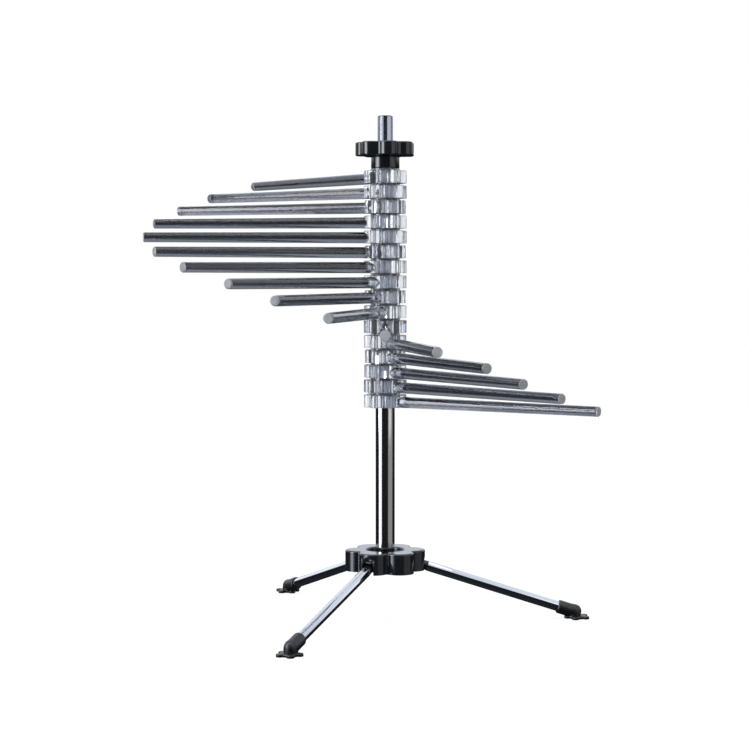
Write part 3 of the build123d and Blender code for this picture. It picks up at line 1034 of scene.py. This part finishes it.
@dataclass
class Studio:
    """White sweep, soft lights, the room that polished parts see, and the camera."""

    distance: float = 1.530
    height: float = 0.293
    pitch: float = 3.24
    yaw: float = 0.32
    focal_px: float = 1835.0
    picture_px: float = 750.0
    sensor_mm: float = 36.0
    near_clip: float = 0.05
    wall_power: float = 1.6
    lamp_power: float = 4.5
    plain_power: float = 0.8
    floor_radius: float = 6.0
    floor_sides: int = 96
    floor_drop: float = 0.2 * MM
    floor_colour: str = "#FAFAFA"
    glow_power: float = 1.06
    glow_share: float = 0.8
    softboxes: tuple[Softbox, ...] = (
        Softbox("key", azimuth=200, height=0.75, reach=1.5, width=0.9, tall=1.3, watts=16),
        Softbox("fill", azimuth=330, height=0.7, reach=1.7, width=1.2, tall=1.2, watts=3),
        Softbox("top", azimuth=270, height=1.9, reach=0.4, width=1.6, tall=1.6, watts=12))

    def camera(self) -> None:
        """Puts the camera where the photographer's stood."""
        lens = bpy.data.cameras.new("camera")
        lens.sensor_width = self.sensor_mm
        lens.lens = self.focal_px * self.sensor_mm / self.picture_px
        lens.clip_start = self.near_clip
        camera = bpy.data.objects.new("camera", lens)
        camera.location = (0, -self.distance, self.height)
        camera.rotation_euler = (math.radians(90 - self.pitch), 0, math.radians(self.yaw))
        bpy.context.scene.collection.objects.link(camera)
        bpy.context.scene.camera = camera

    def room(self) -> None:
        """Builds the world: white to the camera, and a room of dark and pale walls to polished parts."""
        world = bpy.data.worlds.new("room")
        bpy.context.scene.world = world
        tree = cleared_tree(world)
        place = add_node(tree, "ShaderNodeTexCoord").outputs["Generated"]
        x, y, z = add_node(tree, "ShaderNodeSeparateXYZ", {0: place}).outputs
        bearing = map_range(tree, calculate(tree, "ARCTAN2", y, x), -math.pi, math.pi)
        # The wall behind the rack is pale from just above the table
        behind = calculate(tree, "MULTIPLY", map_range(tree, y, 0.0, 0.4), map_range(tree, z, 0.03, 0.12))
        walls = blend(tree, behind, self.ramp(tree, bearing, WALLS), linear("#E0E6EF"))
        for low, high, colour in WALL_ENDS:
            walls = blend(tree, map_range(tree, z, low, high), walls, linear(colour))
        power = calculate(tree, "MULTIPLY_ADD", self.ramp(tree, bearing, LAMP), self.lamp_power,
                          self.wall_power)
        aside = calculate(tree, "ABSOLUTE", calculate(tree, "ARCTAN2", x, y))
        sweep = self.ramp(tree, calculate(tree, "DIVIDE", aside, math.pi), BACKDROP)
        for low, high, colour in BACKDROP_ENDS:
            sweep = blend(tree, map_range(tree, z, low, high), sweep, linear(colour))
        ray = add_node(tree, "ShaderNodeLightPath").outputs
        shader = add_node(tree, "ShaderNodeBackground",
                          {"Color": linear(WHITE), "Strength": self.plain_power}).outputs[0]
        for kind, colour, strength in (("Is Glossy Ray", walls, power), ("Is Transmission Ray", sweep, 1.0),
                                       ("Is Camera Ray", linear(WHITE), 1.0)):
            seen = add_node(tree, "ShaderNodeBackground", {"Color": colour, "Strength": strength}).outputs[0]
            shader = add_node(tree, "ShaderNodeMixShader", {0: ray[kind], 1: shader, 2: seen}).outputs[0]
        add_node(tree, "ShaderNodeOutputWorld", {"Surface": shader})

    @staticmethod
    def ramp(tree: Tree, place: Socket, stops: Sequence[tuple[float, str]]) -> Socket:
        """Adds a colour ramp.

        Args:
            tree: Tree that gets the node.
            place: Socket of the place on the ramp, from nought to one.
            stops: Places on the ramp, each with an sRGB hex colour.

        Returns:
            Socket of the colour.
        """
        node = add_node(tree, "ShaderNodeValToRGB", {0: place})
        elements = node.color_ramp.elements
        while len(elements) > 1:
            elements.remove(elements[-1])
        elements[0].position, elements[0].color = stops[0][0], linear(stops[0][1])
        for position, colour in stops[1:]:
            elements.new(position).color = linear(colour)
        return node.outputs[0]

    def floor(self) -> None:
        """Lays the pale table, which keeps the rack's soft shadow."""
        shell = bmesh.new()
        bmesh.ops.create_circle(shell, cap_ends=True, radius=self.floor_radius, segments=self.floor_sides)
        table = shell_object("table", shell)
        table.data.transform(Matrix.Translation((0, 0, -self.floor_drop)))
        material = bpy.data.materials.new("white laminate sweep")
        tree = cleared_tree(material)
        ray = add_node(tree, "ShaderNodeLightPath").outputs
        paper = add_node(tree, "ShaderNodeBsdfDiffuse", {"Color": linear(self.floor_colour)})
        glow = add_node(tree, "ShaderNodeEmission", {"Color": linear(WHITE), "Strength": self.glow_power})
        shown = calculate(tree, "MULTIPLY", ray["Is Camera Ray"], self.glow_share)
        # Polished and clear parts look past the table into the room, which is dark below
        past = calculate(tree, "MAXIMUM", ray["Is Transmission Ray"], ray["Is Glossy Ray"])
        clear = add_node(tree, "ShaderNodeBsdfTransparent")
        shader = paper.outputs[0]
        for share, other in ((shown, glow), (past, clear)):
            shader = add_node(tree, "ShaderNodeMixShader",
                              {0: share, 1: shader, 2: other.outputs[0]}).outputs[0]
        add_node(tree, "ShaderNodeOutputMaterial", {"Surface": shader})
        table.data.materials.append(material)

    def build(self) -> None:
        """Sets up the whole studio."""
        bpy.context.scene.view_settings.view_transform = "Standard"
        self.camera()
        self.room()
        self.floor()
        for softbox in self.softboxes:
            softbox.build()


def main() -> None:
    """Builds the studio and every piece of the rack, in order."""
    logging.basicConfig(level=logging.INFO, format="%(name)s: %(message)s")
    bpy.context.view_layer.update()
    Studio().build()
    Hub().build()
    Mast().build()
    for number in range(LEG_COUNT):
        Leg(number + 1, LEG_BEARING + 360 / LEG_COUNT * number).build()
    ArmFan().build()
    Clamp().build()


if __name__ == "__main__":
    main()
